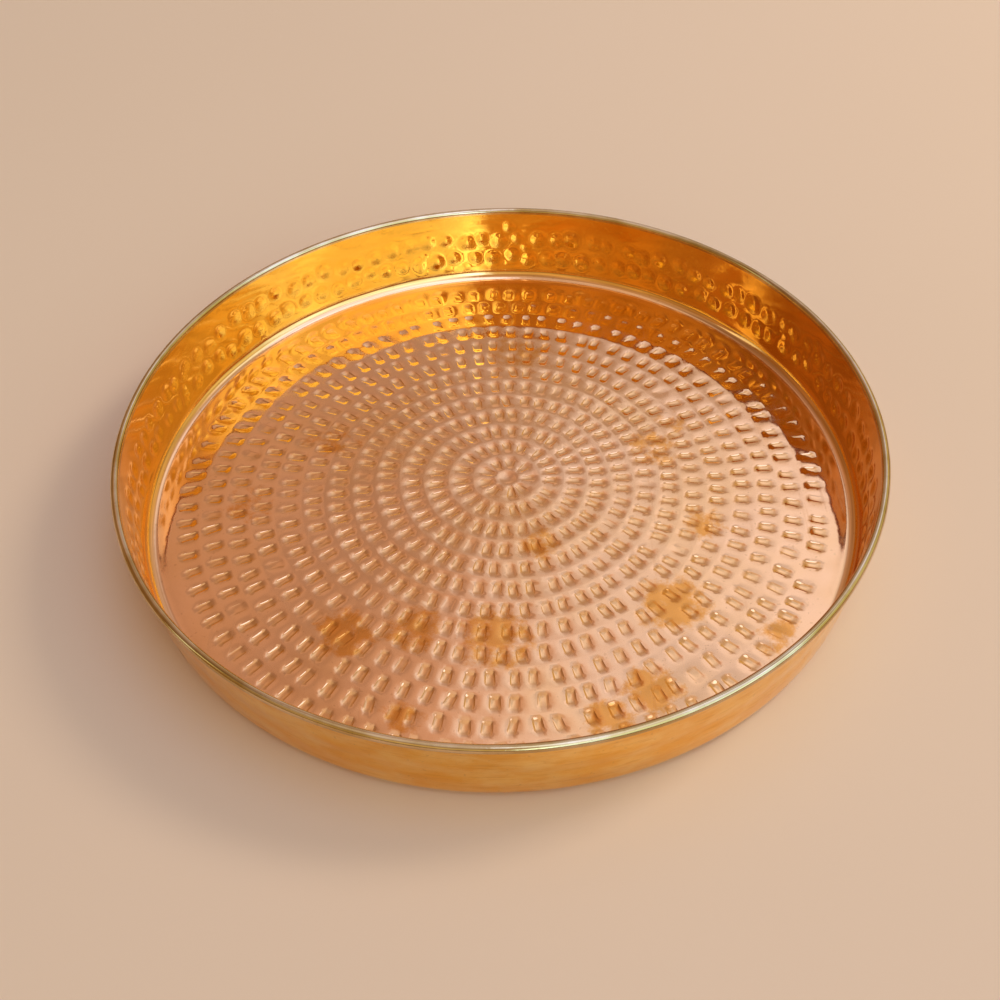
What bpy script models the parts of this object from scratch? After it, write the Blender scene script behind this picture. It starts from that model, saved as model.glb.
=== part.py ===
"""Round hammered copper tray with a brass-bound wired rim. Metres, +Z up.

The origin is on the tray's axis at the underside of its flat base, so the tray stands on z = 0.
Three turned pieces: the copper pan, the brass strip closed over the pan's edge, and the steel
wire inside that strip.
"""

import math

import bmesh
import bpy

# Driving dimensions
OVERALL_DIAMETER = 0.400  # across the rim
OVERALL_HEIGHT = 0.0495  # from the surface it stands on to the top of the rim
WALL_LEAN = math.radians(5)  # outwards from vertical
SHEET_THICKNESS = 0.0008  # copper sheet
COVE_RADIUS = 0.0065  # inside corner between floor and wall
BEAD_RADIUS = 0.0021  # outside of the rim's round bead
BINDING_THICKNESS = 0.0005  # brass strip
INNER_LIP = 0.0008  # straight edge of the strip, down the wall's inner face
FIT_GAP = 0.0003  # between touching pieces

# Fineness of the turned shapes
TURN_STEPS = 72
COVE_STEPS = 6
BEAD_STEPS = 12
WIRE_STEPS = 8
SMOOTH_ANGLE = math.radians(32)

# Places worked out from the dimensions
BEAD_CENTRE = (OVERALL_DIAMETER / 2 - BEAD_RADIUS, OVERALL_HEIGHT - BEAD_RADIUS)
BORE_RADIUS = BEAD_RADIUS - BINDING_THICKNESS  # inside of the bead
WALL_TOP = (BEAD_CENTRE[0] - BORE_RADIUS + FIT_GAP, BEAD_CENTRE[1])  # inner face of the wall
INSIDE_RADIUS = BORE_RADIUS - FIT_GAP  # what lies in the bead stays within this
WIRE_RADIUS = INSIDE_RADIUS - (SHEET_THICKNESS + FIT_GAP) / 2
WIRE_CENTRE = (BEAD_CENTRE[0] + INSIDE_RADIUS - WIRE_RADIUS, BEAD_CENTRE[1])
COVE_HEIGHT = SHEET_THICKNESS + COVE_RADIUS  # of the cove's centre
WALL_RISE = WALL_TOP[1] - COVE_HEIGHT
# The wall leaves the cove smoothly, so this is also the radius of the flat base.
COVE_CENTRE = (
    WALL_TOP[0] - (COVE_RADIUS + WALL_RISE * math.sin(WALL_LEAN)) / math.cos(WALL_LEAN),
    COVE_HEIGHT,
)


def arc(centre, radius, start, end, steps):
    """Points in the (radius, height) half plane along an arc, from the angle start to end."""
    turn = (end - start) / steps
    return [
        (
            centre[0] + radius * math.cos(start + turn * i),
            centre[1] + radius * math.sin(start + turn * i),
        )
        for i in range(steps + 1)
    ]


def pan_section():
    """The sheet's outline, from the axis out along the underside, and back along the inside."""
    down = -math.pi / 2
    outside = arc(COVE_CENTRE, COVE_RADIUS + SHEET_THICKNESS, down, -WALL_LEAN, COVE_STEPS)
    inside = arc(COVE_CENTRE, COVE_RADIUS, -WALL_LEAN, down, COVE_STEPS)
    top_outside = (
        WALL_TOP[0] + SHEET_THICKNESS * math.cos(WALL_LEAN),
        WALL_TOP[1] - SHEET_THICKNESS * math.sin(WALL_LEAN),
    )
    return [(0, 0), *outside, top_outside, WALL_TOP, *inside, (0, SHEET_THICKNESS)]


def binding_section():
    """The strip's outline: a C round the bead, open at the bottom where the wall comes in."""
    sheet_outside = WALL_TOP[0] - BEAD_CENTRE[0] + SHEET_THICKNESS * math.cos(WALL_LEAN)
    outer_edge = -math.acos((sheet_outside + FIT_GAP) / BEAD_RADIUS)
    around = arc(BEAD_CENTRE, BEAD_RADIUS, outer_edge, math.pi, BEAD_STEPS)
    back = arc(BEAD_CENTRE, BORE_RADIUS, math.pi, outer_edge, BEAD_STEPS)
    drop = (-INNER_LIP * math.sin(WALL_LEAN), -INNER_LIP * math.cos(WALL_LEAN))
    lip = [(x + drop[0], z + drop[1]) for x, z in (around[-1], back[0])]
    return [*around, *lip, *back]


def wire_section():
    """The core wire, a full circle without its repeated last point."""
    return arc(WIRE_CENTRE, WIRE_RADIUS, 0, 2 * math.pi, WIRE_STEPS)[:-1]


def metal(name, colour, roughness):
    """A plain metal with the piece's own colour."""
    material = bpy.data.materials.new(name)
    material.use_nodes = True
    shader = material.node_tree.nodes["Principled BSDF"]
    shader.inputs["Base Color"].default_value = (*colour, 1)
    shader.inputs["Roughness"].default_value = roughness
    shader.inputs["Metallic"].default_value = 1
    return material


def turned(name, section, closed, material):
    """One object, turned about the Z axis from a section in the XZ plane."""
    mesh = bpy.data.meshes.new(name)
    shape = bmesh.new()
    corners = [shape.verts.new((x, 0, z)) for x, z in section]
    pairs = list(zip(corners, corners[1:]))
    if closed:
        pairs.append((corners[-1], corners[0]))
    edges = [shape.edges.new(pair) for pair in pairs]
    bmesh.ops.spin(
        shape,
        geom=corners + edges,
        cent=(0, 0, 0),
        axis=(0, 0, 1),
        angle=2 * math.pi,
        steps=TURN_STEPS,
        use_merge=True,
    )
    bmesh.ops.remove_doubles(shape, verts=shape.verts, dist=1e-6)
    bmesh.ops.recalc_face_normals(shape, faces=shape.faces)
    shape.to_mesh(mesh)
    shape.free()
    mesh.shade_smooth()
    mesh.set_sharp_from_angle(angle=SMOOTH_ANGLE)
    mesh.materials.append(material)
    piece = bpy.data.objects.new(name, mesh)
    bpy.context.scene.collection.objects.link(piece)
    return piece


def main():
    for old in list(bpy.data.objects):
        bpy.data.objects.remove(old)
    turned("tray_pan", pan_section(), False, metal("copper", (0.80, 0.37, 0.18), 0.2))
    turned("rim_binding", binding_section(), True, metal("brass", (0.72, 0.50, 0.22), 0.25))
    turned("rim_wire", wire_section(), True, metal("steel_wire", (0.45, 0.45, 0.47), 0.4))


main()
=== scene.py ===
"""Hammered copper tray: the looks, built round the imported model.

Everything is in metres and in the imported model's own frame: +Z up, the tray's axis on Z,
its base on Z = 0. The tray is round, so most places are given as (radius, height).
"""

import math
import random

import bmesh
import bpy
from mathutils import Matrix, Vector, noise


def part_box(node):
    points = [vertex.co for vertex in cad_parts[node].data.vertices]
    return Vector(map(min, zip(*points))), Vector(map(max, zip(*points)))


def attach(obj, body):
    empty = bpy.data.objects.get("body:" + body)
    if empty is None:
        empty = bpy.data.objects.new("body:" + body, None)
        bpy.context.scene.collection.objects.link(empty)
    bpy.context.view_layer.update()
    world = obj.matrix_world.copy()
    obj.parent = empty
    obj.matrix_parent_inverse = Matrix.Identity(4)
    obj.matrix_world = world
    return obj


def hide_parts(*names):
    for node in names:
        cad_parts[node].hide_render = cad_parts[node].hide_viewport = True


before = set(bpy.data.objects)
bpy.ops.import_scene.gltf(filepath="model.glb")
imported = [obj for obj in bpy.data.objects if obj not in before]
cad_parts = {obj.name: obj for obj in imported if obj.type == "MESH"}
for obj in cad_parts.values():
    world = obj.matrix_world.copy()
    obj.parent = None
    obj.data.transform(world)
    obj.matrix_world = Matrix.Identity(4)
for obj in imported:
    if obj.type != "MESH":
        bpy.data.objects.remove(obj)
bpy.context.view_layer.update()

MM = 0.001
TURN = 2 * math.pi
random_hits = random.Random(11)  # the hammer's blows, the same in each run

# The tray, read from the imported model
PAN_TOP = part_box("tray_pan")[1]
RIM_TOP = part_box("rim_binding")[1]
WIRE_LOW, WIRE_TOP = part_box("rim_wire")
BEAD_HEIGHT = (WIRE_LOW[2] + WIRE_TOP[2]) / 2
BEAD_RADIUS = RIM_TOP[2] - BEAD_HEIGHT
BEAD_CENTRE = (RIM_TOP[0] - BEAD_RADIUS, BEAD_HEIGHT)

# The sheet and the strip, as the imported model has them
SHEET = 0.8 * MM
WALL_LEAN = math.radians(5)
COVE_RADIUS = 6.5 * MM
STRIP = 0.5 * MM
STRIP_LIP = 0.8 * MM
FIT_GAP = 0.3 * MM

COVE_HEIGHT = SHEET + COVE_RADIUS
WALL_TOP = (PAN_TOP[0] - SHEET * math.cos(WALL_LEAN), PAN_TOP[2])  # inner face
WALL_RISE = WALL_TOP[1] - COVE_HEIGHT
FLOOR_RADIUS = WALL_TOP[0] - (COVE_RADIUS + WALL_RISE * math.sin(WALL_LEAN)) / math.cos(WALL_LEAN)

# Hammering of the floor: rings of long dents round the middle
RING_RADIUS = 172 * MM  # outermost ring
RING_PITCH = 13.33 * MM
RING_COUNT = 13
MIDDLE_SPACING = 7.9 * MM  # dent to dent along a ring
OUTER_SPACING = 12.2 * MM
SPACING_CURVE = 1.3  # over 1, the spacing changes faster at the outside
HALF_BAND = RING_PITCH * 0.48  # half the width of a ring's own band of mesh
DENT_DEPTH = 0.31 * MM
MIDDLE_DENT = (2.5 * MM, 4.1 * MM)  # half width, half length
OUTER_DENT = (2.7 * MM, 4.8 * MM)
MIDDLE_DENT_RADIUS = 5.5 * MM  # the round dent on the pattern's middle
CROWN = 0.21 * MM  # rise of the metal between dents
CROWN_BASE = 0.4  # share of that rise that lies under the sheet's own height
CROWN_RISE = 2.3  # over 2, it is all there before the halfway line between rings
HOLLOW_WIDTH = 1.6  # over 1, the hollow round a dent is wide and its crown narrow
EDGE_CROWNS = (0.62, 0.50, 0.40, 0.35)  # that rise, falling off over the floor's plain edge
PATTERN_DRIFT = (4 * MM, 5 * MM)  # the middle rings sit off the tray's axis

# The outline and hollow of one dent, with its half sizes as 1
BOTTOM_FLATNESS = 5
INNER_END_STEEPNESS = 6  # of the end towards the middle of the floor
OUTER_END_STEEPNESS = 3
END_NARROWING = 0.3
END_SQUARENESS = (5, 9)  # in the middle of the floor, and at the outside
BLOW_OFFSET = 0.45  # of each half of a double blow, from the dent's middle
DOUBLE_BLOW_DEPTH = 0.9

# How unevenly the hammer fell, from dent to dent
ALONG_SPREAD = 0.1  # share of the spacing
ALONG_LIMIT = (0.12, 0.22)  # in the middle of the floor, and at the outside
OFF_RING = 0.7 * MM
TURN_SPREAD = 5  # degrees
TURN_LIMIT = 14
WIDTHS = (0.86, 1.12)
LENGTHS = (0.90, 1.06)
DEPTHS = (0.7, 1.25)
MIDDLE_DEPTH = 0.8  # share of the depth at the outside
FAINT_SHARE = 0.03  # of all dents
FAINT_DEPTH = 0.35
SINGLE_SHARE = 0.90  # the others are double blows
TIP = 0.35  # how much deeper one end of a dent is

# Long waves. A larger number of them puts them closer together.
RING_WANDER = 1.76 * MM  # how far a ring strays from its circle, at most
WANDER_WAVES = 2.2
WANDER_LAYER = 3.7  # how unlike each other two neighbouring rings stray
CALM_RINGS = 3  # rings near the middle that stray less and less
SHEET_WAVE = 0.45 * MM  # rise of the waves of the whole floor
WAVE_LENGTH = 70 * MM
FINE_WAVE = 2.3  # how much shorter the second waves of the floor are
FINE_WAVE_SHARE = 0.35
WAVE_HOLD = 6  # how close to the cove the waves go on
WALL_WAVE = 0.35 * MM
WALL_WAVES = 6
WALL_WAVE_HEIGHT = 30 * MM
WALL_WAVE_FADES = (12 * MM, 8 * MM)  # above the floor, and below the rim

# The floor's underside
UNDER_GAP = 0.02 * MM  # keeps the bumps off what the tray stands on
UNDER_CROWN = 0.8  # share of each height of the upper face that shows underneath
UNDER_DENT = 0.3
UNDER_WAVE = 0.5
UNDER_MIDDLE = 0.1 * MM

# Hammering of the wall: two rows of round dents
WALL_DENTS = 104  # in a row
WALL_ROWS = (16 * MM, 29 * MM)
WALL_DENT_RADIUS = 4.6 * MM
WALL_DENT_DEPTH = 1.0 * MM
WALL_ROW_SLACK = (0.16, 1.1 * MM)  # along the row, as a share of the spacing, and up or down
WALL_DENT_SIZES = (0.8, 1.25)
WALL_DENT_DEPTHS = (0.6, 1.25)
STRAY_DENTS = WALL_DENTS // 3
STRAY_HEIGHTS = (9 * MM, 38 * MM)
STRAY_SIZES = (0.5, 0.9)
STRAY_DEPTHS = (0.4, 0.8)

# A wall dent on each face: how far it reaches past its radius, how softly it runs out, and
# how much of its depth shows
INSIDE_FORM = {"reach": 1.0, "softness": 1, "share": 1.0}
OUTSIDE_FORM = {"reach": 1.6, "softness": 2, "share": 0.45}

# Columns of a band of mesh across a dent and over the metal up to the next dent, and its rows
# along a dent, all with the dent's half sizes as 1, or the gap as 1
ALONG_DENT = (-1.1, -1, -0.8, -0.35, 0.25, 0.65, 1, 1.1)
ACROSS_DENT = (-1, -0.86, -0.48, 0, 0.48, 0.86, 1)
OUTER_BAND = (ACROSS_DENT, (0.2, 0.5, 0.8), ALONG_DENT)
INNER_BAND = (ACROSS_DENT, (0.5,), ALONG_DENT)
UNDER_BAND = ((-0.7, 0, 0.7), (0.5,), (1.1, 0.4, -0.4, -1.1))
OUTER_RINGS = 6  # rings with the finer band

# Fineness of the rest of the mesh
CAP_HOLE = 1 * MM  # of the plain rows on the pattern's middle
CAP_EDGE = 4.2 * MM
CAP_STEPS = 4
CAP_COLUMNS = 16
UNDER_CAP_COLUMNS = 12
EDGE_START = RING_RADIUS + RING_PITCH * 0.78  # of the floor's plain edge
COVE_STEPS = 8
WALL_STEPS = 22
WALL_COLUMNS = WALL_DENTS * 7
CORNER_STEPS = 6
SKIRT_STEPS = 16
SKIRT_COLUMNS = WALL_DENTS * 7 // 2
BEAD_STEPS = 22
BORE_STEPS = 12
BEAD_COLUMNS = 360

# The rim's slight unevenness
BEAD_WAVES = 5
BEAD_WAVE = (0.12 * MM, 0.10 * MM)  # outwards, and up
BEAD_WAVE_LAYER = Vector((0, 0, 7))  # keeps the two unlike each other
BEAD_SMOOTH_ANGLE = math.radians(40)

# Golden-brown tarnish on the floor: (x, y, radius, strength)
STAIN_SPREAD = 1.7  # how far past its radius a patch thins out
TARNISH = (
    (0.084, -0.088, 0.015, 1.0),
    (-0.080, -0.100, 0.013, 1.0),
    (-0.045, -0.098, 0.012, 0.9),
    (-0.005, -0.106, 0.016, 0.9),
    (0.020, -0.045, 0.009, 0.9),
    (0.108, -0.035, 0.010, 0.8),
    (0.136, -0.112, 0.011, 0.9),
    (0.068, -0.140, 0.012, 1.0),
    (0.047, -0.155, 0.010, 1.0),
    (-0.050, -0.150, 0.009, 0.8),
    (0.088, 0.026, 0.012, 0.8),
    (0.100, 0.045, 0.008, 0.7),
    (-0.095, 0.040, 0.014, 0.7),
    (-0.140, -0.010, 0.012, 0.7),
    (0.015, 0.110, 0.018, 0.7),
)


def arc(centre, radius, start, end, steps):
    """Points in the (radius, height) half plane along an arc, from the angle start to end."""
    turn = (end - start) / steps
    return [
        (
            centre[0] + radius * math.cos(start + turn * i),
            centre[1] + radius * math.sin(start + turn * i),
        )
        for i in range(steps + 1)
    ]


def between(a, b, share):
    return a + (b - a) * share


def within(value, limit):
    return max(-limit, min(limit, value))


def line(start, end, steps):
    """Points along a straight stretch of a section, both ends included."""
    return [
        (between(start[0], end[0], i / steps), between(start[1], end[1], i / steps))
        for i in range(steps + 1)
    ]


# --- mesh tools ------------------------------------------------------------------------------


def turned_band(shape, section, columns):
    """A band round the axis, grown from a circle by extruding its edge through a section's points.

    Returns its vertices by row and column.
    """
    circle = bmesh.ops.create_circle(shape, radius=1, segments=columns)["verts"]
    start = math.atan2(circle[0].co.y, circle[0].co.x)
    rows = []
    for radius, height in section:
        if rows:
            grown = bmesh.ops.extrude_edge_only(shape, edges=row_edges(shape, rows[-1]))["geom"]
            circle = [part for part in grown if isinstance(part, bmesh.types.BMVert)]
        row = [None] * columns
        for vertex in circle:
            angle = math.atan2(vertex.co.y, vertex.co.x)
            row[round((angle - start) / TURN * columns) % columns] = vertex
            vertex.co = (radius * math.cos(angle), radius * math.sin(angle), height)
        rows.append(row)
    return rows


def row_edges(shape, row):
    return [shape.edges.get((row[i - 1], row[i])) for i in range(len(row))]


def join_rows(shape, first, second):
    """Closes the gap between the neighbouring rows of two bands."""
    bmesh.ops.bridge_loops(shape, edges=row_edges(shape, first) + row_edges(shape, second))


def close_pole(shape, row, height):
    """Fills a small ring of vertices with a fan."""
    face = bmesh.ops.contextual_create(shape, geom=row_edges(shape, row))["faces"]
    centre = bmesh.ops.poke(shape, faces=face)["verts"][0]
    centre.co.z = height


def shade_smooth(shape):
    """Turns the faces outwards and shades them smoothly."""
    bmesh.ops.recalc_face_normals(shape, faces=shape.faces)
    for face in shape.faces:
        face.smooth = True


def finished(name, shape, material):
    """The piece's object, from its bmesh."""
    mesh = bpy.data.meshes.new(name)
    shape.to_mesh(mesh)
    shape.free()
    mesh.materials.append(material)
    piece = bpy.data.objects.new(name, mesh)
    bpy.context.scene.collection.objects.link(piece)
    return piece


# --- the pan -----------------------------------------------------------------------------------


def ring_wander(angle, boundary):
    """How far the boundary between two rings of dents strays outwards at an angle."""
    layer = Vector((0, 0, boundary * WANDER_LAYER))
    where = Vector((math.cos(angle), math.sin(angle), 0)) * WANDER_WAVES + layer
    calm = min(1, (RING_COUNT - boundary) / CALM_RINGS)
    return RING_WANDER * calm * noise.noise(where)


def ring_of_dents(index):
    """The dents of a ring, hit by hand: each a little off in place, size, turn and depth."""
    radius = RING_RADIUS - RING_PITCH * index
    share = radius / RING_RADIUS
    spacing = between(MIDDLE_SPACING, OUTER_SPACING, share**SPACING_CURVE)
    count = round(TURN * radius / spacing)
    hits = random_hits
    start = hits.uniform(0, TURN)
    half_width = between(MIDDLE_DENT[0], OUTER_DENT[0], share)
    half_length = between(MIDDLE_DENT[1], OUTER_DENT[1], share)
    depth = DENT_DEPTH * between(MIDDLE_DEPTH, 1, share)
    dents = []
    for n in range(count):
        loose = within(hits.gauss(0, ALONG_SPREAD), between(*ALONG_LIMIT, share))
        angle = start + TURN / count * (n + loose)
        wander = (ring_wander(angle, index) + ring_wander(angle, index + 1)) / 2
        kind = hits.random()
        dents.append(
            {
                "angle": angle,
                "radius": radius + wander + hits.uniform(-OFF_RING, OFF_RING),
                "turn": math.radians(within(hits.gauss(0, TURN_SPREAD), TURN_LIMIT)),
                "half_width": half_width * hits.uniform(*WIDTHS),
                "half_length": half_length * hits.uniform(*LENGTHS),
                "depth": depth * hits.uniform(*DEPTHS) * (FAINT_DEPTH if kind < FAINT_SHARE else 1),
                "double": kind > SINGLE_SHARE,
                "tip": hits.uniform(-TIP, TIP),
                "squareness": between(*END_SQUARENESS, share),
            }
        )
    return {"index": index, "radius": radius, "spacing": TURN * radius / count, "dents": dents}


def dent_depth(dent, u, v):
    """Depth of a dent at u across and v along it, both -1 to 1 at its edges."""
    if abs(u) >= 1 or abs(v) >= 1:
        return 0
    across = 1 - abs(u) ** BOTTOM_FLATNESS
    if dent["double"]:  # two blows side by side, with a ridge where they meet
        off_blow = (abs(u) - BLOW_OFFSET) / (1 - BLOW_OFFSET)
        across = max(1 - off_blow**2, 0) * DOUBLE_BLOW_DEPTH
    along = 1 - abs(v) ** (INNER_END_STEEPNESS if v < 0 else OUTER_END_STEEPNESS)
    return dent["depth"] * across * along * (1 + dent["tip"] * v)


def side_of(dent, v):
    """Half width of a dent at v along it, as a share of its half width in the middle."""
    return 1 - END_NARROWING * abs(v) ** dent["squareness"]


def sheet_wave(x, y):
    """Long, low waves of the floor. They die out at the cove, where the wall holds the sheet."""
    where = Vector((x, y, 0)) / WAVE_LENGTH
    hold = max(0, 1 - (math.hypot(x, y) / FLOOR_RADIUS) ** WAVE_HOLD)
    return SHEET_WAVE * hold * (noise.noise(where) + FINE_WAVE_SHARE * noise.noise(where * FINE_WAVE))


def drifted(x, y):
    """A place of the hammering, moved off the tray's axis in the middle of the floor."""
    hold = max(0, 1 - math.hypot(x, y) / (RING_RADIUS + RING_PITCH / 2))
    return x + PATTERN_DRIFT[0] * hold, y + PATTERN_DRIFT[1] * hold


def place_dents(rows, ring, band):
    """Lays a band's columns and rows along the ring's dents, as (angle, radius, depth)."""
    across, gaps, along = band
    per_dent = len(across) + len(gaps)
    for i, (row, v) in enumerate(zip(rows, along)):
        for n, dent in enumerate(ring["dents"]):
            outwards = v * dent["half_length"]
            cos_turn = math.cos(dent["turn"])
            sin_turn = math.sin(dent["turn"])
            side = side_of(dent, min(1, abs(v)))
            for c, u in enumerate(across):
                sideways = u * dent["half_width"] * side
                angle = dent["angle"] + (sideways * cos_turn - outwards * sin_turn) / dent["radius"]
                radius = dent["radius"] + outwards * cos_turn + sideways * sin_turn
                if i in (0, len(rows) - 1):
                    edge = ring["radius"] + math.copysign(HALF_BAND, v)
                    radius = edge + ring_wander(angle, ring["index"] + (v < 0))
                row[(n * per_dent + c) % len(row)].co = (angle, radius, dent_depth(dent, u, v))


def place_gaps(rows, ring, band):
    """Spreads the columns between neighbouring dents evenly over the metal left there."""
    across, gaps, _ = band
    per_dent = len(across) + len(gaps)
    for row in rows:
        for n in range(len(ring["dents"])):
            first = row[n * per_dent + len(across) - 1].co
            last = row[(n + 1) * per_dent % len(row)].co
            wrap = TURN if n == len(ring["dents"]) - 1 else 0
            for g, share in enumerate(gaps):
                angle = between(first.x, last.x + wrap, share)
                row[n * per_dent + len(across) + g].co = (angle, between(first.y, last.y, share), 0)


def crown_at(ring, place, column, band, edge_row):
    """How far the metal stands up between dents at a place (angle, radius) of a ring's band."""
    across, gaps, _ = band
    n, c = divmod(column, len(across) + len(gaps))
    dents = ring["dents"]
    angle, radius = place
    to_dent = (angle - dents[n]["angle"]) * radius
    if c >= len(across):
        last = n == len(dents) - 1
        to_next = (angle - dents[(n + 1) % len(dents)]["angle"] - (TURN if last else 0)) * radius
        to_dent = min(to_dent, to_next, key=abs)
    away = min(1, abs(to_dent) / ring["spacing"] * 2)
    out = 1 if edge_row else min(1, abs(radius - dents[n]["radius"]) / RING_PITCH * CROWN_RISE)
    return (1 - hollow(away) * hollow(out)) * CROWN


def place_band(rows, ring, band, height_of, struck):
    """Moves a plain band's vertices so that its columns and rows follow the ring's dents."""
    place_dents(rows, ring, band)
    place_gaps(rows, ring, band)
    for i, row in enumerate(rows):
        edge_row = i in (0, len(rows) - 1)
        for column, vertex in enumerate(row):
            angle, radius, depth = vertex.co
            crown = crown_at(ring, (angle, radius), column, band, edge_row)
            x, y = drifted(radius * math.cos(angle), radius * math.sin(angle))
            vertex.co = (x, y, height_of(x, y, crown, depth))
            vertex[struck] = depth / DENT_DEPTH


def hollow(away):
    """The soft hollow round a dent, from 1 at its middle to 0 halfway to the next dent."""
    return (1 + math.cos(math.pi * away**HOLLOW_WIDTH)) / 2


def inside_height(x, y, crown, depth):
    """Height of the floor's upper face."""
    return SHEET - CROWN * CROWN_BASE + crown - depth + sheet_wave(x, y)


def underside_height(x, y, crown, depth):
    """Height of the floor's underside, where each dent shows as a low bump."""
    wave = max(0, sheet_wave(x, y)) * UNDER_WAVE
    return UNDER_GAP + crown * UNDER_CROWN + (DENT_DEPTH - depth) * UNDER_DENT + wave


def sharpen_dents(shape, rows, band):
    """Makes the long sides of each dent end in a crisp edge."""
    across, gaps, along = band
    per_dent = len(across) + len(gaps)
    for i in range(len(along) - 1):
        if max(abs(along[i]), abs(along[i + 1])) >= 1:
            continue
        for column in range(len(rows[i])):
            if column % per_dent in (0, len(across) - 1):
                shape.edges.get((rows[i][column], rows[i + 1][column])).smooth = False


def wall_hits():
    """The wall's dents, as (angle, height, radius, depth): first its rows, then the stray ones."""
    hits = []
    for r, height in enumerate(WALL_ROWS):
        for n in range(WALL_DENTS):
            slack = random_hits.uniform(-WALL_ROW_SLACK[0], WALL_ROW_SLACK[0])
            angle = TURN / WALL_DENTS * (n + r / 2 + slack)
            lift = random_hits.gauss(0, WALL_ROW_SLACK[1])
            radius = WALL_DENT_RADIUS * random_hits.uniform(*WALL_DENT_SIZES)
            depth = WALL_DENT_DEPTH * random_hits.uniform(*WALL_DENT_DEPTHS)
            hits.append((angle, height + lift, radius, depth))
    for _ in range(STRAY_DENTS):
        angle = random_hits.uniform(0, TURN)
        height = random_hits.uniform(*STRAY_HEIGHTS)
        radius = WALL_DENT_RADIUS * random_hits.uniform(*STRAY_SIZES)
        depth = WALL_DENT_DEPTH * random_hits.uniform(*STRAY_DEPTHS)
        hits.append((angle, height, radius, depth))
    return hits


def wall_push(hits, angle, height, form):
    """How far the wall's dents push it outwards at a place, in the form they have on that face."""
    push = 0
    for hit_angle, hit_height, radius, depth in hits:
        around = (angle - hit_angle + math.pi) % TURN - math.pi
        away = math.hypot(around * WALL_TOP[0], height - hit_height) / radius / form["reach"]
        if away < 1:
            push = max(push, depth * (1 - away * away) ** form["softness"])
    return push * form["share"]


def wall_wave(angle, height):
    """Slow waves along the wall, which die out at the floor and at the rim."""
    where = Vector((math.cos(angle) * WALL_WAVES, math.sin(angle) * WALL_WAVES, height / WALL_WAVE_HEIGHT))
    from_floor = min(1, max(0, height - SHEET) / WALL_WAVE_FADES[0])
    from_rim = min(1, max(0, WALL_TOP[1] - height) / WALL_WAVE_FADES[1])
    return WALL_WAVE * from_floor * from_rim * noise.noise(where)


def push_wall(rows, hits, form):
    """Moves a wall's vertices outwards by its dents and waves."""
    by_sector = [[] for _ in range(WALL_DENTS)]
    for hit in hits:
        sector = int(hit[0] / TURN * WALL_DENTS)
        for near in (-1, 0, 1):
            by_sector[(sector + near) % WALL_DENTS].append(hit)
    for row in rows:
        for vertex in row:
            x, y, z = vertex.co
            angle = math.atan2(y, x) % TURN
            near = by_sector[int(angle / TURN * WALL_DENTS) % WALL_DENTS]
            out = wall_push(near, angle, z, form) + wall_wave(angle, z)
            push_outwards(vertex, out)


def push_outwards(vertex, out):
    share = 1 + out / math.hypot(vertex.co.x, vertex.co.y)
    vertex.co.x *= share
    vertex.co.y *= share


def middle_of_floor(shape):
    """Plain rows round the pattern's middle, pressed into one round dent."""
    rows = turned_band(shape, line((CAP_HOLE, SHEET), (CAP_EDGE, SHEET), CAP_STEPS), CAP_COLUMNS)
    for row in rows:
        for vertex in row:
            away = math.hypot(vertex.co.x, vertex.co.y) / MIDDLE_DENT_RADIUS
            x, y = drifted(vertex.co.x, vertex.co.y)
            depth = DENT_DEPTH * max(0, 1 - away * away)
            vertex.co = (x, y, inside_height(x, y, CROWN * away * away, depth))
    return rows


def ring_rows(shape, ring, band, height_of, struck):
    """A ring's band of the floor. It grows outwards, or inwards where the band's rows go that way."""
    across, gaps, along = band
    half = math.copysign(HALF_BAND, along[-1])
    section = line((ring["radius"] - half, 0), (ring["radius"] + half, 0), len(along) - 1)
    rows = turned_band(shape, section, len(ring["dents"]) * (len(across) + len(gaps)))
    place_band(rows, ring, band, height_of, struck)
    return rows


def wall_inside(shape, hits):
    """The floor's plain edge, the cove and the wall's inner face."""
    edge = line((EDGE_START, SHEET), (FLOOR_RADIUS, SHEET), len(EDGE_CROWNS) - 1)
    cove = arc((FLOOR_RADIUS, COVE_HEIGHT), COVE_RADIUS, -math.pi / 2, -WALL_LEAN, COVE_STEPS)
    wall = line(cove[-1], WALL_TOP, WALL_STEPS)
    rows = turned_band(shape, edge + cove[1:] + wall[1:], WALL_COLUMNS)
    for row, crown in zip(rows, EDGE_CROWNS):
        for vertex in row:
            vertex.co.z += sheet_wave(vertex.co.x, vertex.co.y) + CROWN * crown
    top_of_cove = len(edge) + COVE_STEPS - 2
    push_wall(rows[top_of_cove:-1], hits, INSIDE_FORM)
    return rows


def inside_of_pan(shape, rings, hits, struck):
    """Bands from the middle of the floor out to the wall's top edge."""
    bands = [middle_of_floor(shape)]
    for ring in reversed(rings):
        band = OUTER_BAND if ring["index"] < OUTER_RINGS else INNER_BAND
        bands.append(ring_rows(shape, ring, band, inside_height, struck))
        sharpen_dents(shape, bands[-1], band)
    bands.append(wall_inside(shape, hits))
    return bands


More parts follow.
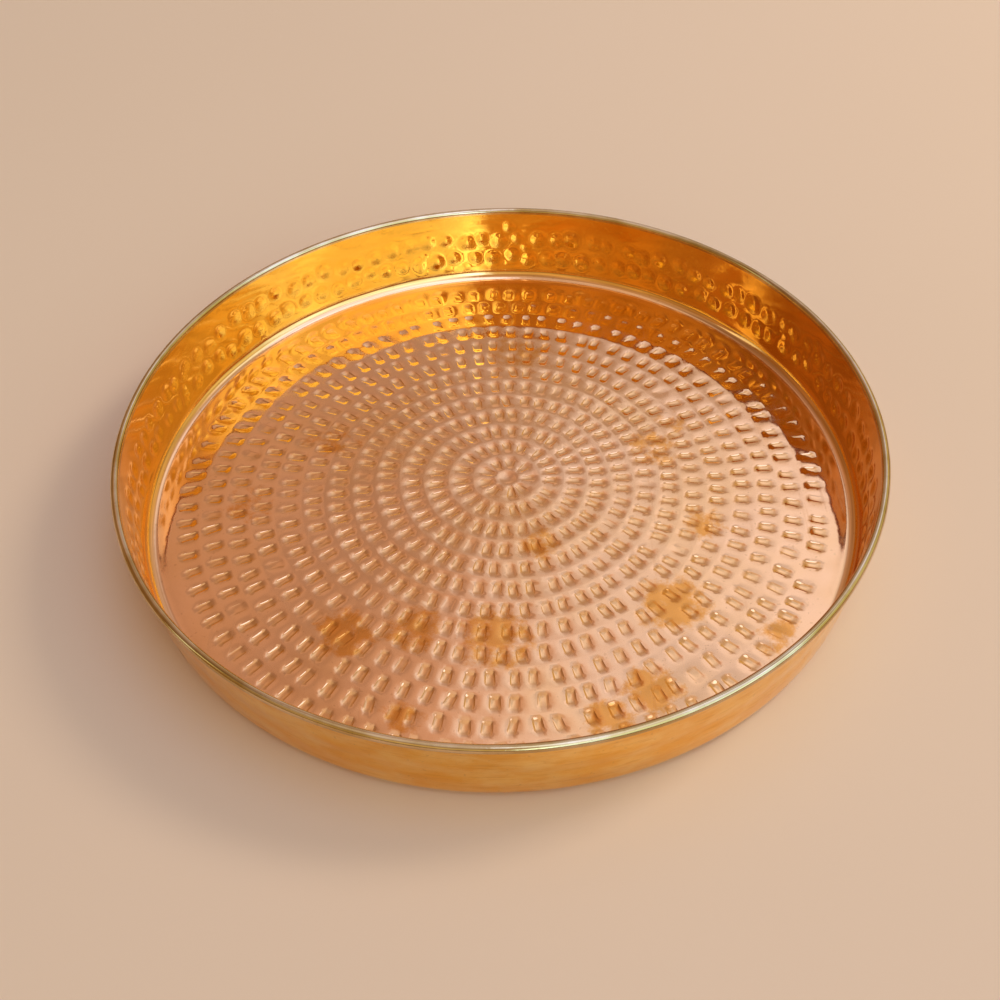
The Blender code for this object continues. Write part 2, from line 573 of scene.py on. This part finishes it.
def outside_of_pan(shape, rings, hits, struck):
    """Bands from the wall's top edge down and back to the middle of the underside."""
    top_edge = (PAN_TOP[0], WALL_TOP[1] - SHEET * math.sin(WALL_LEAN))
    corner = arc((FLOOR_RADIUS, COVE_HEIGHT), COVE_RADIUS + SHEET, -WALL_LEAN, -math.pi / 2, CORNER_STEPS)
    skirt = line(top_edge, corner[0], SKIRT_STEPS) + corner[1:]
    bands = [turned_band(shape, skirt, SKIRT_COLUMNS)]
    push_wall(bands[0][1:SKIRT_STEPS], hits, OUTSIDE_FORM)
    for ring in rings:
        bands.append(ring_rows(shape, ring, UNDER_BAND, underside_height, struck))
    bands.append(turned_band(shape, ((CAP_EDGE, 0), (CAP_HOLE, 0)), UNDER_CAP_COLUMNS))
    for vertex in vertices_of(bands[-1:]):
        vertex.co = (*drifted(vertex.co.x, vertex.co.y), UNDER_MIDDLE)
    return bands


def vertices_of(bands):
    return [vertex for band in bands for row in band for vertex in row]


def hammered_pan(material):
    """One sheet: hammered floor, plain edge, cove and wall inside, and the same from outside."""
    shape = bmesh.new()
    struck = shape.verts.layers.float.new("struck")
    tarnish = shape.verts.layers.float.new("tarnish")
    brushed = shape.verts.layers.float.new("brushed")
    rings = [ring_of_dents(index) for index in range(RING_COUNT)]
    hits = wall_hits()
    inside = inside_of_pan(shape, rings, hits, struck)
    outside = outside_of_pan(shape, rings, hits, struck)
    paint_tarnish(vertices_of(inside[:-1]), tarnish)
    for vertex in vertices_of(outside):
        vertex[brushed] = 1
    bands = inside + outside
    for first, second in zip(bands, bands[1:]):
        join_rows(shape, first[-1], second[0])
    close_pole(shape, inside[0][0], inside_height(*PATTERN_DRIFT, 0, DENT_DEPTH))
    close_pole(shape, outside[-1][-1], UNDER_MIDDLE)
    shade_smooth(shape)
    for row in (inside[-1][-1], outside[0][0]):
        for sheet_edge in row_edges(shape, row):
            sheet_edge.smooth = False
    return finished("hammered_pan", shape, material)


def paint_tarnish(vertices, tarnish):
    """Marks the tarnished patches of the floor as an attribute of the mesh."""
    for vertex in vertices:
        stain = 0
        for x, y, radius, strength in TARNISH:
            away = math.hypot(vertex.co.x - x, vertex.co.y - y) / radius
            stain = max(stain, strength * max(0, 1 - (away / STAIN_SPREAD) ** 2))
        vertex[tarnish] = stain


# --- the rim -----------------------------------------------------------------------------------


def brass_binding(material):
    """The strip rolled round the rim: a bead with a short lip down the wall's inner face."""
    bore = BEAD_RADIUS - STRIP
    sheet_outside = WALL_TOP[0] - BEAD_CENTRE[0] + SHEET * math.cos(WALL_LEAN)
    outer_edge = -math.acos((sheet_outside + FIT_GAP) / BEAD_RADIUS)
    around = arc(BEAD_CENTRE, BEAD_RADIUS, outer_edge, math.pi, BEAD_STEPS)
    back = arc(BEAD_CENTRE, bore, math.pi, outer_edge, BORE_STEPS)
    drop = (-STRIP_LIP * math.sin(WALL_LEAN), -STRIP_LIP * math.cos(WALL_LEAN))
    lip = [(x + drop[0], z + drop[1]) for x, z in (around[-1], back[0])]
    shape = bmesh.new()
    rows = turned_band(shape, [*around, *lip, *back], BEAD_COLUMNS)
    join_rows(shape, rows[-1], rows[0])
    for vertex in shape.verts:
        angle = math.atan2(vertex.co.y, vertex.co.x)
        where = Vector((math.cos(angle), math.sin(angle), 0)) * BEAD_WAVES
        push_outwards(vertex, BEAD_WAVE[0] * noise.noise(where + BEAD_WAVE_LAYER))
        vertex.co.z += BEAD_WAVE[1] * noise.noise(where)
    shade_smooth(shape)
    piece = finished("brass_rim_binding", shape, material)
    piece.data.set_sharp_from_angle(angle=BEAD_SMOOTH_ANGLE)
    return piece


# --- materials ---------------------------------------------------------------------------------

# Colours, mostly as two that drift into each other
COPPER = ((0.94, 0.505, 0.235, 1), (0.91, 0.475, 0.19, 1))
STRUCK_COPPER = (0.95, 0.49, 0.14, 1)
WALL_COPPER = ((0.97, 0.55, 0.09, 1), (0.93, 0.49, 0.06, 1))
# Outer wall: lighter and darker golden copper and a darker streak colour, partly the metal's own patches
# and brushing, partly painted reflected shade
GOLDEN_COPPER_AND_REFLECTED_SHADE = ((1.0, 0.65, 0.20, 1), (0.94, 0.48, 0.05, 1))
STREAK_AND_REFLECTED_SHADE = (0.72, 0.32, 0.03, 1)
TARNISHED_COPPER = (0.80, 0.29, 0.03, 1)
COPPER_SPECK = (0.45, 0.22, 0.07, 1)
BRASS = ((0.75, 0.56, 0.34, 1), (0.54, 0.35, 0.13, 1))
BRASS_SPECK = (0.25, 0.16, 0.06, 1)
STEEL = ((0.46, 0.46, 0.48, 1), (0.30, 0.28, 0.27, 1))
PALE_FLOOR = ((0.82, 0.555, 0.345, 1), (0.86, 0.59, 0.38, 1))

WALL_COLOUR_HEIGHTS = (2 * MM, 8 * MM)  # over which the floor's copper turns into the wall's
BUMP_HEIGHT = 1 * MM


class Nodes:
    """A short way to write a node tree."""

    def __init__(self, tree):
        self.tree = tree

    def add(self, kind, inputs=None, **settings):
        node = self.tree.nodes.new(kind)
        for name, value in settings.items():
            setattr(node, name, value)
        for name, value in (inputs or {}).items():
            socket = node.inputs[name]
            if isinstance(value, bpy.types.NodeSocket):
                self.tree.links.new(value, socket)
            else:
                socket.default_value = value
        return node

    def math(self, operation, *values):
        return self.add("ShaderNodeMath", dict(enumerate(values)), operation=operation).outputs[0]

    def range(self, value, low, high, to_low=0.0, to_high=1.0):
        inputs = {"Value": value, "From Min": low, "From Max": high, "To Min": to_low, "To Max": to_high}
        return self.add("ShaderNodeMapRange", inputs, interpolation_type="SMOOTHSTEP").outputs["Result"]

    def mix(self, share, first, second):
        node = self.add("ShaderNodeMix", data_type="RGBA")
        for name, value in (("Factor", share), ("A", first), ("B", second)):
            socket = next(s for s in node.inputs if s.name == name and s.enabled)
            if isinstance(value, bpy.types.NodeSocket):
                self.tree.links.new(value, socket)
            else:
                socket.default_value = value
        return next(s for s in node.outputs if s.enabled)

    def noise(self, where, scale, detail=3.0, roughness=0.55):
        inputs = {"Vector": where, "Scale": scale, "Detail": detail, "Roughness": roughness}
        return self.add("ShaderNodeTexNoise", inputs).outputs["Fac"]

    def attribute(self, name):
        return self.add("ShaderNodeAttribute", attribute_name=name).outputs["Fac"]

    def stretched(self, where, scale, turn=(0, 0, 0)):
        """Places for a texture that is drawn out along an axis."""
        inputs = {"Vector": where, "Rotation": turn, "Scale": scale}
        return self.add("ShaderNodeMapping", inputs).outputs[0]

    def bump(self, height):
        inputs = {"Height": height, "Strength": 1.0, "Distance": BUMP_HEIGHT}
        return self.add("ShaderNodeBump", inputs).outputs[0]

    def join(self, value, socket):
        self.tree.links.new(value, socket)


def handling_group():
    """Handled metal: smears that dull it, fine hairline scratches, and small specks."""
    group = bpy.data.node_groups.new("handled_metal", "ShaderNodeTree")
    sockets = group.interface
    for name, default in (("Smear Scale", 25.0), ("Scratch Scale", 300.0)):
        socket = sockets.new_socket(name, in_out="INPUT", socket_type="NodeSocketFloat")
        socket.default_value = default
    for name in ("Smear", "Scratch", "Speck"):
        sockets.new_socket(name, in_out="OUTPUT", socket_type="NodeSocketFloat")
    nodes = Nodes(group)
    given = nodes.add("NodeGroupInput").outputs
    where = nodes.add("ShaderNodeTexCoord").outputs["Object"]
    smear = nodes.noise(where, given["Smear Scale"], detail=5.0, roughness=0.6)
    smear = nodes.range(smear, 0.42, 0.68)
    scratches = []
    for turn in (0.4, 1.5, 2.6):
        drawn_out = nodes.stretched(where, (1, 0.03, 1), turn=(0.3, 0, turn))
        fine = nodes.noise(drawn_out, given["Scratch Scale"], detail=1.0, roughness=0.5)
        scratches.append(nodes.range(fine, 0.64, 0.72))
    scratch = nodes.math("MAXIMUM", nodes.math("MAXIMUM", scratches[0], scratches[1]), scratches[2])
    patches = nodes.range(nodes.noise(where, 18.0, detail=2.0), 0.45, 0.62)
    scratch = nodes.math("MULTIPLY", scratch, patches)
    speck = nodes.range(nodes.noise(where, 420.0, detail=1.0), 0.70, 0.76)
    nodes.add("NodeGroupOutput", {"Smear": smear, "Scratch": scratch, "Speck": speck})
    return group


def new_material(name):
    material = bpy.data.materials.new(name)
    material.use_nodes = True
    nodes = Nodes(material.node_tree)
    shader = material.node_tree.nodes["Principled BSDF"]
    return material, nodes, shader


def place_group(nodes, group, **inputs):
    """A node group in a material, with its own values."""
    node = nodes.add("ShaderNodeGroup", node_tree=group)
    for name, value in inputs.items():
        node.inputs[name.replace("_", " ").title()].default_value = value
    return node.outputs


def inside_copper(nodes, where):
    """Clouded copper, yellower in the dents, and golden on the wall."""
    cloud = nodes.range(nodes.noise(where, 14.0, detail=4.0), 0.35, 0.7)
    struck = nodes.range(nodes.attribute("struck"), 0.1, 0.6, 0, 0.38)
    floor_colour = nodes.mix(struck, nodes.mix(cloud, *COPPER), STRUCK_COPPER)
    height = nodes.add("ShaderNodeSeparateXYZ", {0: where}).outputs["Z"]
    on_wall = nodes.range(height, *WALL_COLOUR_HEIGHTS)
    return nodes.mix(on_wall, floor_colour, nodes.mix(cloud, *WALL_COPPER))


def outside_copper(nodes, where):
    """Golden brushed copper, blotched and streaked along the wall. The blotches and darker streaks are
    partly the metal's own colour and brushing, and partly painted reflected shade.
    """
    blotches_and_reflected_shade = nodes.noise(nodes.stretched(where, (1, 1, 2.2)), 42.0, detail=6.0, roughness=0.65)
    golden = nodes.mix(nodes.range(blotches_and_reflected_shade, 0.32, 0.66), *GOLDEN_COPPER_AND_REFLECTED_SHADE)
    streaks_and_reflected_shade = nodes.noise(nodes.stretched(where, (1, 1, 12)), 60.0, detail=4.0, roughness=0.65)
    streaks_and_reflected_shade = nodes.math("MULTIPLY", nodes.range(streaks_and_reflected_shade, 0.50, 0.70), 0.4)
    return nodes.mix(streaks_and_reflected_shade, golden, STREAK_AND_REFLECTED_SHADE)


def copper(group):
    """Polished lacquered copper with golden-brown tarnish."""
    material, nodes, shader = new_material("polished_copper")
    wear = place_group(nodes, group, smear_scale=22.0, scratch_scale=260.0)
    where = nodes.add("ShaderNodeTexCoord").outputs["Object"]
    ragged = nodes.noise(where, 110.0, detail=8.0, roughness=0.7)
    stain = nodes.math("ADD", nodes.attribute("tarnish"), nodes.math("MULTIPLY", ragged, 2.2))
    stain = nodes.range(stain, 1.45, 2.0)
    brushed = nodes.attribute("brushed")
    colour = nodes.mix(brushed, inside_copper(nodes, where), outside_copper(nodes, where))
    colour = nodes.mix(nodes.math("MULTIPLY", stain, 0.85), colour, TARNISHED_COPPER)
    colour = nodes.mix(nodes.math("MULTIPLY", wear["Speck"], 0.25), colour, COPPER_SPECK)
    rough = nodes.range(wear["Smear"], 0, 1, 0.07, 0.14)
    rough = nodes.math("ADD", rough, nodes.math("MULTIPLY", wear["Scratch"], 0.10))
    rough = nodes.math("ADD", rough, nodes.math("MULTIPLY", stain, 0.05))
    ripple = nodes.math("MULTIPLY", nodes.noise(where, 60.0, detail=3.0, roughness=0.5), 0.12)
    relief = nodes.math("ADD", ripple, nodes.math("MULTIPLY", wear["Scratch"], -0.004))
    nodes.join(colour, shader.inputs["Base Color"])
    nodes.join(rough, shader.inputs["Roughness"])
    nodes.join(nodes.bump(relief), shader.inputs["Normal"])
    shader.inputs["Metallic"].default_value = 1
    shader.inputs["Coat Weight"].default_value = 0.15
    shader.inputs["Coat Roughness"].default_value = 0.04
    return material


def brass(group):
    """Brass strip, a little dulled and olive where it has tarnished."""
    material, nodes, shader = new_material("dulled_brass")
    wear = place_group(nodes, group, smear_scale=40.0, scratch_scale=400.0)
    where = nodes.add("ShaderNodeTexCoord").outputs["Object"]
    cloud = nodes.range(nodes.noise(where, 30.0, detail=4.0), 0.35, 0.65)
    colour = nodes.mix(cloud, *BRASS)
    colour = nodes.mix(nodes.math("MULTIPLY", wear["Speck"], 0.2), colour, BRASS_SPECK)
    rough = nodes.range(wear["Smear"], 0, 1, 0.07, 0.16)
    rough = nodes.math("ADD", rough, nodes.math("MULTIPLY", wear["Scratch"], 0.1))
    relief = nodes.math("MULTIPLY", nodes.noise(where, 140.0, detail=2.0), 0.05)
    nodes.join(colour, shader.inputs["Base Color"])
    nodes.join(rough, shader.inputs["Roughness"])
    nodes.join(nodes.bump(relief), shader.inputs["Normal"])
    shader.inputs["Metallic"].default_value = 1
    return material


def steel(group):
    """Plain drawn wire."""
    material, nodes, shader = new_material("drawn_steel")
    wear = place_group(nodes, group, smear_scale=60.0, scratch_scale=500.0)
    nodes.join(nodes.mix(wear["Smear"], *STEEL), shader.inputs["Base Color"])
    nodes.join(nodes.range(wear["Scratch"], 0, 1, 0.35, 0.55), shader.inputs["Roughness"])
    shader.inputs["Metallic"].default_value = 1
    return material


# --- camera, floor and light -------------------------------------------------------------------

CAMERA_DOWN = math.radians(46.42)  # how far down it looks
CAMERA_LEAN = math.radians(2.01)  # to one side
CAMERA_AWAY = 0.630  # from the middle of the rim
CAMERA_OFFSET = (-0.0006, -0.0409)  # to the right and up, as it sees them
SENSOR_WIDTH = 36  # millimetres, and so is the lens
LENS_LENGTH = 43.2
NEAR_CLIP = 0.01

FLOOR_REACH = 3  # from its middle to each side
SOFTBOX_PLACE = (1.7, 0.6, 1.6)
SOFTBOX_SIZE = 0.6
SOFTBOX_BRIGHTNESS = 16.0  # as a mirror would show it
SOFTBOX_COLOUR = (1.0, 0.98, 0.97)


def camera():
    """Looks down at the tray from the front, with a small lean to one side."""
    forward = Vector((0, math.cos(CAMERA_DOWN), -math.sin(CAMERA_DOWN)))
    right = Vector((1, 0, 0))
    up = right.cross(forward)
    rim_middle = Vector((0, 0, BEAD_HEIGHT))
    place = rim_middle - forward * CAMERA_AWAY + right * CAMERA_OFFSET[0] + up * CAMERA_OFFSET[1]
    leaning_right = right * math.cos(CAMERA_LEAN) - up * math.sin(CAMERA_LEAN)
    leaning_up = right * math.sin(CAMERA_LEAN) + up * math.cos(CAMERA_LEAN)
    turned = Matrix((leaning_right, leaning_up, -forward)).transposed().to_4x4()
    turned.translation = place
    lens = bpy.data.cameras.new("camera")
    lens.sensor_width = SENSOR_WIDTH
    lens.lens = LENS_LENGTH
    lens.clip_start = NEAR_CLIP
    viewer = bpy.data.objects.new("camera", lens)
    viewer.matrix_world = turned
    bpy.context.scene.collection.objects.link(viewer)
    bpy.context.scene.camera = viewer


def floor():
    """What the tray stands on: plain, pale and matt."""
    material, nodes, shader = new_material("pale_floor")
    where = nodes.add("ShaderNodeTexCoord").outputs["Object"]
    colour = nodes.mix(nodes.noise(where, 1.5, detail=2.0), *PALE_FLOOR)
    nodes.join(colour, shader.inputs["Base Color"])
    shader.inputs["Roughness"].default_value = 0.6
    shape = bmesh.new()
    bmesh.ops.create_grid(shape, x_segments=1, y_segments=1, size=FLOOR_REACH)
    piece = finished("floor", shape, material)


def softbox():
    """A square light behind the tray on the right, facing it. The metal doesn't mirror it."""
    lamp = bpy.data.lights.new("back_softbox", "AREA")
    lamp.shape = "SQUARE"
    lamp.size = SOFTBOX_SIZE
    lamp.energy = SOFTBOX_BRIGHTNESS * math.pi * SOFTBOX_SIZE**2
    lamp.color = SOFTBOX_COLOUR
    light = bpy.data.objects.new("back_softbox", lamp)
    light.visible_glossy = False
    light.location = SOFTBOX_PLACE
    light.rotation_euler = (-Vector(SOFTBOX_PLACE)).to_track_quat("-Z", "Y").to_euler()
    bpy.context.scene.collection.objects.link(light)


# The room as a mirror sees it, by compass: degrees from behind the tray, towards the right
LOWER_ROOM = (
    (-180, (0.78, 0.68, 0.36)),
    (-160, (0.74, 0.56, 0.24)),
    (-130, (0.56, 0.40, 0.16)),
    (-99, (0.38, 0.21, 0.08)),
    (-96, (1.25, 1.30, 1.00)),
    (-91, (1.25, 1.30, 1.00)),
    (-88, (0.36, 0.19, 0.07)),
    (-40, (0.33, 0.18, 0.07)),
    (-20, (0.46, 0.32, 0.24)),
    (0, (0.60, 0.50, 0.50)),
    (20, (0.66, 0.60, 0.62)),
    (38, (0.64, 0.52, 0.24)),
    (70, (0.72, 0.66, 0.28)),
    (96, (0.85, 0.90, 0.50)),
    (106, (1.35, 1.90, 2.20)),
    (168, (1.40, 1.95, 2.20)),
    (171, (2.00, 3.00, 4.00)),
    (176, (2.00, 3.00, 4.00)),
    (180, (0.78, 0.68, 0.36)),
)
UPPER_ROOM = (
    (-180, (0.60, 0.44, 0.26)),
    (-165, (0.55, 0.40, 0.24)),
    (-100, (0.42, 0.32, 0.21)),
    (-60, (0.27, 0.17, 0.11)),
    (-38, (0.34, 0.23, 0.18)),
    (-22, (0.50, 0.36, 0.32)),
    (-6, (0.58, 0.45, 0.44)),
    (8, (0.86, 0.94, 1.28)),
    (26, (0.90, 1.00, 1.42)),
    (38, (0.70, 0.64, 0.60)),
    (60, (0.70, 0.66, 0.60)),
    (74, (1.10, 1.45, 1.70)),
    (166, (1.20, 1.50, 1.90)),
    (175, (0.60, 0.44, 0.26)),
    (180, (0.60, 0.44, 0.26)),
)
ROOM_LOW = (0.28, 0.17, 0.09)
ROOM_CEILING = (0.66, 0.60, 0.60)
CEILING_LIGHT = (1.35, 1.68, 2.80)
TOWARDS_CEILING_LIGHT = (0.30, -0.10, 0.94)
PLAIN_BACKDROP = (0.62, 0.50, 0.39)

# Where one part of the room blends into the next, as the sine of its height above the horizon
LOWER_ROOM_EDGE = (0.08, 0.36)
UPPER_ROOM_EDGE = (0.60, 0.73)
CEILING_EDGE = (0.86, 0.94)
CEILING_LIGHT_EDGE = (0.925, 0.945)  # cosine of the angle away from its middle
CLUTTER_BRIGHTNESS = (0.82, 1.18)
DIFFUSE_DIMMING = 0.25  # how much less the room lights matt surfaces


def compass_ramp(nodes, compass, walls):
    """Colours of the walls by compass, where compass runs from 0 to 1 round the room."""
    ramp = nodes.add("ShaderNodeValToRGB", {0: compass})
    stops = ramp.color_ramp.elements
    while len(stops) < len(walls):
        stops.new(0.5)
    for stop, (degrees, colour) in zip(stops, walls):
        stop.position = degrees / 360 + 0.5
        stop.color = (*colour, 1)
    return ramp.outputs[0]


def room():
    """A plain room: soft walls by compass, brighter in front on the right, and a pale ceiling."""
    world = bpy.data.worlds.new("room")
    bpy.context.scene.world = world
    world.use_nodes = True
    nodes = Nodes(world.node_tree)
    direction = nodes.add("ShaderNodeTexCoord").outputs["Generated"]
    axes = nodes.add("ShaderNodeSeparateXYZ", {0: direction}).outputs
    compass = nodes.math("MULTIPLY_ADD", nodes.math("ARCTAN2", axes["X"], axes["Y"]), 1 / TURN, 0.5)
    lower = compass_ramp(nodes, compass, LOWER_ROOM)
    upper = compass_ramp(nodes, compass, UPPER_ROOM)
    colour = nodes.mix(nodes.range(axes["Z"], *LOWER_ROOM_EDGE), (*ROOM_LOW, 1), lower)
    colour = nodes.mix(nodes.range(axes["Z"], *UPPER_ROOM_EDGE), colour, upper)
    colour = nodes.mix(nodes.range(axes["Z"], *CEILING_EDGE), colour, (*ROOM_CEILING, 1))
    both = {0: direction, 1: Vector(TOWARDS_CEILING_LIGHT).normalized()}
    to_light = nodes.add("ShaderNodeVectorMath", both, operation="DOT_PRODUCT").outputs["Value"]
    colour = nodes.mix(nodes.range(to_light, *CEILING_LIGHT_EDGE), colour, (*CEILING_LIGHT, 1))
    clutter = nodes.noise(direction, 3.5, detail=2.0)
    clutter = nodes.range(clutter, 0.38, 0.62, *CLUTTER_BRIGHTNESS)
    ray = nodes.add("ShaderNodeLightPath").outputs
    dimmed = nodes.math("MULTIPLY_ADD", ray["Is Diffuse Ray"], -DIFFUSE_DIMMING, 1.0)
    strength = nodes.math("MULTIPLY", clutter, dimmed)
    strength = plain_to_camera(nodes, strength, ray["Is Camera Ray"])
    background = world.node_tree.nodes["Background"]
    colour = nodes.mix(ray["Is Camera Ray"], colour, (*PLAIN_BACKDROP, 1))
    nodes.join(colour, background.inputs["Color"])
    nodes.join(strength, background.inputs["Strength"])


def plain_to_camera(nodes, strength, camera_ray):
    """The same strength, but exactly 1 for what the camera sees directly."""
    strength = nodes.math("MAXIMUM", strength, camera_ray)
    return nodes.math("MINIMUM", strength, nodes.math("SUBTRACT", 2.0, camera_ray))


camera()
floor()
softbox()
room()
bpy.context.scene.view_settings.view_transform = "Standard"

handling = handling_group()
pan = hammered_pan(copper(handling))
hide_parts("tray_pan")
binding = brass_binding(brass(handling))
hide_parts("rim_binding")
for piece in (pan, binding):
    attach(piece, "root")
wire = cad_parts["rim_wire"]
wire.data.materials.clear()
wire.data.materials.append(steel(handling))
